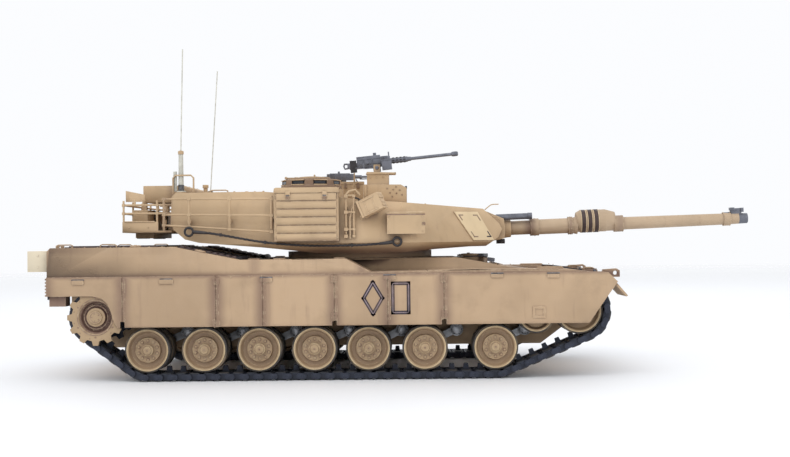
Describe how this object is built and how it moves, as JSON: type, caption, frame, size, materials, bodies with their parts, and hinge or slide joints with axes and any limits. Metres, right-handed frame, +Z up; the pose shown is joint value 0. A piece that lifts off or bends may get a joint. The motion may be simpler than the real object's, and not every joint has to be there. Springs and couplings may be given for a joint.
{
  "type": "radio-controlled tank",
  "caption": "Radio-controlled scale tank in sand paint: tracked hull with skirts and sprung road wheels, traversing turret, elevating gun, hatches and machine guns.",
  "frame": {"origin": "on the ground under the centre line, halfway between the rear telephone box and the muzzle", "axes": "+X forward towards the muzzle, +Y to the left side of the tank, +Z up"},
  "size_m": [0.6519, 0.23, 0.294],
  "materials": {
    "hull_sand": "matte sand paint with dark airbrushed shading",
    "turret_sand": "matte sand paint, slightly warmer",
    "wheel_sand": "matte sand paint with dusty black tyre bands",
    "track_rubber": "dusty black",
    "arm_metal": "bare metal, oiled",
    "gun_metal": "dark grey paint with worn edges",
    "grille_black": "matt black",
    "lamp_glass": "clear lens",
    "vision_glass": "dark glossy vision block",
    "antenna_grey": "pale grey",
    "cable_black": "black braided cord",
    "cell_blue": "shrink sleeve",
    "gearbox_grey": "satin grey",
    "board_green": "green solder mask"
  },
  "bodies": {
    "hull": {"lower_hull": "hull_sand", "upper_hull": "hull_sand", "deck_grilles": "grille_black", "hull_fittings": "hull_sand", "lamps": "lamp_glass", "battery_pack": "cell_blue", "drive_gearboxes": "gearbox_grey", "control_board": "board_green", "right_skirt": "hull_sand", "left_skirt": "hull_sand", "right_track": "track_rubber", "left_track": "track_rubber"},
    "turret": {"turret_shell": "turret_sand", "stowage_bins": "turret_sand", "bustle_rack": "turret_sand", "cupola": "turret_sand", "turret_fittings": "turret_sand", "antennas": "antenna_grey", "tow_cables": "cable_black"},
    "gun": {"gun_mantlet": "turret_sand", "gun_barrel": "turret_sand"},
    "commander_hatch": {"commander_hatch": "turret_sand"},
    "loader_hatch": {"loader_hatch": "turret_sand"},
    "driver_hatch": {"driver_hatch": "hull_sand"},
    "heavy_machine_gun": {"heavy_machine_gun": "gun_metal"},
    "loader_machine_gun": {"loader_machine_gun": "gun_metal"},
    "right_sprocket": {"right_sprocket": "track_rubber"},
    "right_idler": {"right_idler": "wheel_sand"},
    "right_roller": {"right_roller": "wheel_sand"},
    "right_arm_1": {"right_arm_1": "arm_metal"},
    "right_wheel_1": {"right_wheel_1": "wheel_sand"},
    "right_arm_2": {"right_arm_2": "arm_metal"},
    "right_wheel_2": {"right_wheel_2": "wheel_sand"},
    "right_arm_3": {"right_arm_3": "arm_metal"},
    "right_wheel_3": {"right_wheel_3": "wheel_sand"},
    "right_arm_4": {"right_arm_4": "arm_metal"},
    "right_wheel_4": {"right_wheel_4": "wheel_sand"},
    "right_arm_5": {"right_arm_5": "arm_metal"},
    "right_wheel_5": {"right_wheel_5": "wheel_sand"},
    "right_arm_6": {"right_arm_6": "arm_metal"},
    "right_wheel_6": {"right_wheel_6": "wheel_sand"},
    "right_arm_7": {"right_arm_7": "arm_metal"},
    "right_wheel_7": {"right_wheel_7": "wheel_sand"},
    "left_sprocket": {"left_sprocket": "track_rubber"},
    "left_idler": {"left_idler": "wheel_sand"},
    "left_roller": {"left_roller": "wheel_sand"},
    "left_arm_1": {"left_arm_1": "arm_metal"},
    "left_wheel_1": {"left_wheel_1": "wheel_sand"},
    "left_arm_2": {"left_arm_2": "arm_metal"},
    "left_wheel_2": {"left_wheel_2": "wheel_sand"},
    "left_arm_3": {"left_arm_3": "arm_metal"},
    "left_wheel_3": {"left_wheel_3": "wheel_sand"},
    "left_arm_4": {"left_arm_4": "arm_metal"},
    "left_wheel_4": {"left_wheel_4": "wheel_sand"},
    "left_arm_5": {"left_arm_5": "arm_metal"},
    "left_wheel_5": {"left_wheel_5": "wheel_sand"},
    "left_arm_6": {"left_arm_6": "arm_metal"},
    "left_wheel_6": {"left_wheel_6": "wheel_sand"},
    "left_arm_7": {"left_arm_7": "arm_metal"},
    "left_wheel_7": {"left_wheel_7": "wheel_sand"}
  },
  "joints": [
    {"name": "turret_traverse", "type": "hinge", "parent": "hull", "child": "turret", "pos_m": [-0.042, 0, 0.104], "axis": [0, 0, 1], "continuous": true},
    {"name": "gun_elevation", "type": "hinge", "parent": "turret", "child": "gun", "pos_m": [0.032, 0, 0.1283], "axis": [0, -1, 0], "range_deg": [-2, 18]},
    {"name": "commander_hatch_lid", "type": "hinge", "parent": "turret", "child": "commander_hatch", "pos_m": [-0.1074, -0.033, 0.1782], "axis": [0, -1, 0], "range_deg": [0, 95]},
    {"name": "loader_hatch_lid", "type": "hinge", "parent": "turret", "child": "loader_hatch", "pos_m": [-0.1056, 0.036, 0.1669], "axis": [0, -1, 0], "range_deg": [0, 95]},
    {"name": "driver_hatch_swing", "type": "hinge", "parent": "hull", "child": "driver_hatch", "pos_m": [0.062, 0.016, 0.104], "axis": [0, 0, -1], "range_deg": [0, 90]},
    {"name": "heavy_gun_pitch", "type": "hinge", "parent": "turret", "child": "heavy_machine_gun", "pos_m": [-0.024, -0.033, 0.187], "axis": [0, -1, 0], "range_deg": [-5, 23]},
    {"name": "loader_gun_swing", "type": "hinge", "parent": "turret", "child": "loader_machine_gun", "pos_m": [-0.06, 0.06, 0.17], "axis": [0, 0, 1], "range_deg": [-40, 40]},
    {"name": "right_sprocket_spin", "type": "hinge", "parent": "hull", "child": "right_sprocket", "pos_m": [-0.2658, -0.09, 0.0564], "axis": [0, 1, 0], "continuous": true},
    {"name": "right_idler_spin", "type": "hinge", "parent": "hull", "child": "right_idler", "pos_m": [0.1509, -0.09, 0.0577], "axis": [0, 1, 0], "continuous": true},
    {"name": "right_roller_spin", "type": "hinge", "parent": "hull", "child": "right_roller", "pos_m": [0.1138, -0.09, 0.0543], "axis": [0, 1, 0], "continuous": true},
    {"name": "right_arm_1_swing", "type": "hinge", "parent": "hull", "child": "right_arm_1", "pos_m": [-0.194, -0.065, 0.04], "axis": [0, 1, 0], "range_deg": [0, 10], "stiffness_Nm_per_rad": 0.6, "springref_deg": -8.59},
    {"name": "right_wheel_1_spin", "type": "hinge", "parent": "right_arm_1", "child": "right_wheel_1", "pos_m": [-0.2227, -0.09, 0.027], "axis": [0, 1, 0], "continuous": true},
    {"name": "right_arm_2_swing", "type": "hinge", "parent": "hull", "child": "right_arm_2", "pos_m": [-0.1445, -0.065, 0.04], "axis": [0, 1, 0], "range_deg": [0, 10], "stiffness_Nm_per_rad": 0.6, "springref_deg": -8.59},
    {"name": "right_wheel_2_spin", "type": "hinge", "parent": "right_arm_2", "child": "right_wheel_2", "pos_m": [-0.1732, -0.09, 0.027], "axis": [0, 1, 0], "continuous": true},
    {"name": "right_arm_3_swing", "type": "hinge", "parent": "hull", "child": "right_arm_3", "pos_m": [-0.0968, -0.065, 0.04], "axis": [0, 1, 0], "range_deg": [0, 10], "stiffness_Nm_per_rad": 0.6, "springref_deg": -8.59},
    {"name": "right_wheel_3_spin", "type": "hinge", "parent": "right_arm_3", "child": "right_wheel_3", "pos_m": [-0.1255, -0.09, 0.027], "axis": [0, 1, 0], "continuous": true},
    {"name": "right_arm_4_swing", "type": "hinge", "parent": "hull", "child": "right_arm_4", "pos_m": [-0.0491, -0.065, 0.04], "axis": [0, 1, 0], "range_deg": [0, 10], "stiffness_Nm_per_rad": 0.6, "springref_deg": -8.59},
    {"name": "right_wheel_4_spin", "type": "hinge", "parent": "right_arm_4", "child": "right_wheel_4", "pos_m": [-0.0778, -0.09, 0.027], "axis": [0, 1, 0], "continuous": true},
    {"name": "right_arm_5_swing", "type": "hinge", "parent": "hull", "child": "right_arm_5", "pos_m": [-0.0022, -0.065, 0.04], "axis": [0, 1, 0], "range_deg": [0, 10], "stiffness_Nm_per_rad": 0.6, "springref_deg": -8.59},
    {"name": "right_wheel_5_spin", "type": "hinge", "parent": "right_arm_5", "child": "right_wheel_5", "pos_m": [-0.0309, -0.09, 0.027], "axis": [0, 1, 0], "continuous": true},
    {"name": "right_arm_6_swing", "type": "hinge", "parent": "hull", "child": "right_arm_6", "pos_m": [0.0464, -0.065, 0.04], "axis": [0, 1, 0], "range_deg": [0, 10], "stiffness_Nm_per_rad": 0.6, "springref_deg": -8.59},
    {"name": "right_wheel_6_spin", "type": "hinge", "parent": "right_arm_6", "child": "right_wheel_6", "pos_m": [0.0177, -0.09, 0.027], "axis": [0, 1, 0], "continuous": true},
    {"name": "right_arm_7_swing", "type": "hinge", "parent": "hull", "child": "right_arm_7", "pos_m": [0.1072, -0.065, 0.04], "axis": [0, 1, 0], "range_deg": [0, 10], "stiffness_Nm_per_rad": 0.6, "springref_deg": -8.59},
    {"name": "right_wheel_7_spin", "type": "hinge", "parent": "right_arm_7", "child": "right_wheel_7", "pos_m": [0.0785, -0.09, 0.027], "axis": [0, 1, 0], "continuous": true},
    {"name": "left_sprocket_spin", "type": "hinge", "parent": "hull", "child": "left_sprocket", "pos_m": [-0.2658, 0.09, 0.0564], "axis": [0, 1, 0], "continuous": true},
    {"name": "left_idler_spin", "type": "hinge", "parent": "hull", "child": "left_idler", "pos_m": [0.1509, 0.09, 0.0577], "axis": [0, 1, 0], "continuous": true},
    {"name": "left_roller_spin", "type": "hinge", "parent": "hull", "child": "left_roller", "pos_m": [0.1138, 0.09, 0.0543], "axis": [0, 1, 0], "continuous": true},
    {"name": "left_arm_1_swing", "type": "hinge", "parent": "hull", "child": "left_arm_1", "pos_m": [-0.194, 0.065, 0.04], "axis": [0, 1, 0], "range_deg": [0, 10], "stiffness_Nm_per_rad": 0.6, "springref_deg": -8.59},
    {"name": "left_wheel_1_spin", "type": "hinge", "parent": "left_arm_1", "child": "left_wheel_1", "pos_m": [-0.2227, 0.09, 0.027], "axis": [0, 1, 0], "continuous": true},
    {"name": "left_arm_2_swing", "type": "hinge", "parent": "hull", "child": "left_arm_2", "pos_m": [-0.1445, 0.065, 0.04], "axis": [0, 1, 0], "range_deg": [0, 10], "stiffness_Nm_per_rad": 0.6, "springref_deg": -8.59},
    {"name": "left_wheel_2_spin", "type": "hinge", "parent": "left_arm_2", "child": "left_wheel_2", "pos_m": [-0.1732, 0.09, 0.027], "axis": [0, 1, 0], "continuous": true},
    {"name": "left_arm_3_swing", "type": "hinge", "parent": "hull", "child": "left_arm_3", "pos_m": [-0.0968, 0.065, 0.04], "axis": [0, 1, 0], "range_deg": [0, 10], "stiffness_Nm_per_rad": 0.6, "springref_deg": -8.59},
    {"name": "left_wheel_3_spin", "type": "hinge", "parent": "left_arm_3", "child": "left_wheel_3", "pos_m": [-0.1255, 0.09, 0.027], "axis": [0, 1, 0], "continuous": true},
    {"name": "left_arm_4_swing", "type": "hinge", "parent": "hull", "child": "left_arm_4", "pos_m": [-0.0491, 0.065, 0.04], "axis": [0, 1, 0], "range_deg": [0, 10], "stiffness_Nm_per_rad": 0.6, "springref_deg": -8.59},
    {"name": "left_wheel_4_spin", "type": "hinge", "parent": "left_arm_4", "child": "left_wheel_4", "pos_m": [-0.0778, 0.09, 0.027], "axis": [0, 1, 0], "continuous": true},
    {"name": "left_arm_5_swing", "type": "hinge", "parent": "hull", "child": "left_arm_5", "pos_m": [-0.0022, 0.065, 0.04], "axis": [0, 1, 0], "range_deg": [0, 10], "stiffness_Nm_per_rad": 0.6, "springref_deg": -8.59},
    {"name": "left_wheel_5_spin", "type": "hinge", "parent": "left_arm_5", "child": "left_wheel_5", "pos_m": [-0.0309, 0.09, 0.027], "axis": [0, 1, 0], "continuous": true},
    {"name": "left_arm_6_swing", "type": "hinge", "parent": "hull", "child": "left_arm_6", "pos_m": [0.0464, 0.065, 0.04], "axis": [0, 1, 0], "range_deg": [0, 10], "stiffness_Nm_per_rad": 0.6, "springref_deg": -8.59},
    {"name": "left_wheel_6_spin", "type": "hinge", "parent": "left_arm_6", "child": "left_wheel_6", "pos_m": [0.0177, 0.09, 0.027], "axis": [0, 1, 0], "continuous": true},
    {"name": "left_arm_7_swing", "type": "hinge", "parent": "hull", "child": "left_arm_7", "pos_m": [0.1072, 0.065, 0.04], "axis": [0, 1, 0], "range_deg": [0, 10], "stiffness_Nm_per_rad": 0.6, "springref_deg": -8.59},
    {"name": "left_wheel_7_spin", "type": "hinge", "parent": "left_arm_7", "child": "left_wheel_7", "pos_m": [0.0785, 0.09, 0.027], "axis": [0, 1, 0], "continuous": true}
  ],
  "couplings": [
    {"joint": "right_idler_spin", "follows": "right_sprocket_spin", "ratio": 0.8824},
    {"joint": "right_wheel_1_spin", "follows": "right_sprocket_spin", "ratio": 1.066},
    {"joint": "right_wheel_2_spin", "follows": "right_sprocket_spin", "ratio": 1.066},
    {"joint": "right_wheel_3_spin", "follows": "right_sprocket_spin", "ratio": 1.066},
    {"joint": "right_wheel_4_spin", "follows": "right_sprocket_spin", "ratio": 1.066},
    {"joint": "right_wheel_5_spin", "follows": "right_sprocket_spin", "ratio": 1.066},
    {"joint": "right_wheel_6_spin", "follows": "right_sprocket_spin", "ratio": 1.066},
    {"joint": "right_wheel_7_spin", "follows": "right_sprocket_spin", "ratio": 1.066},
    {"joint": "left_idler_spin", "follows": "left_sprocket_spin", "ratio": 0.8824},
    {"joint": "left_wheel_1_spin", "follows": "left_sprocket_spin", "ratio": 1.066},
    {"joint": "left_wheel_2_spin", "follows": "left_sprocket_spin", "ratio": 1.066},
    {"joint": "left_wheel_3_spin", "follows": "left_sprocket_spin", "ratio": 1.066},
    {"joint": "left_wheel_4_spin", "follows": "left_sprocket_spin", "ratio": 1.066},
    {"joint": "left_wheel_5_spin", "follows": "left_sprocket_spin", "ratio": 1.066},
    {"joint": "left_wheel_6_spin", "follows": "left_sprocket_spin", "ratio": 1.066},
    {"joint": "left_wheel_7_spin", "follows": "left_sprocket_spin", "ratio": 1.066}
  ]
}
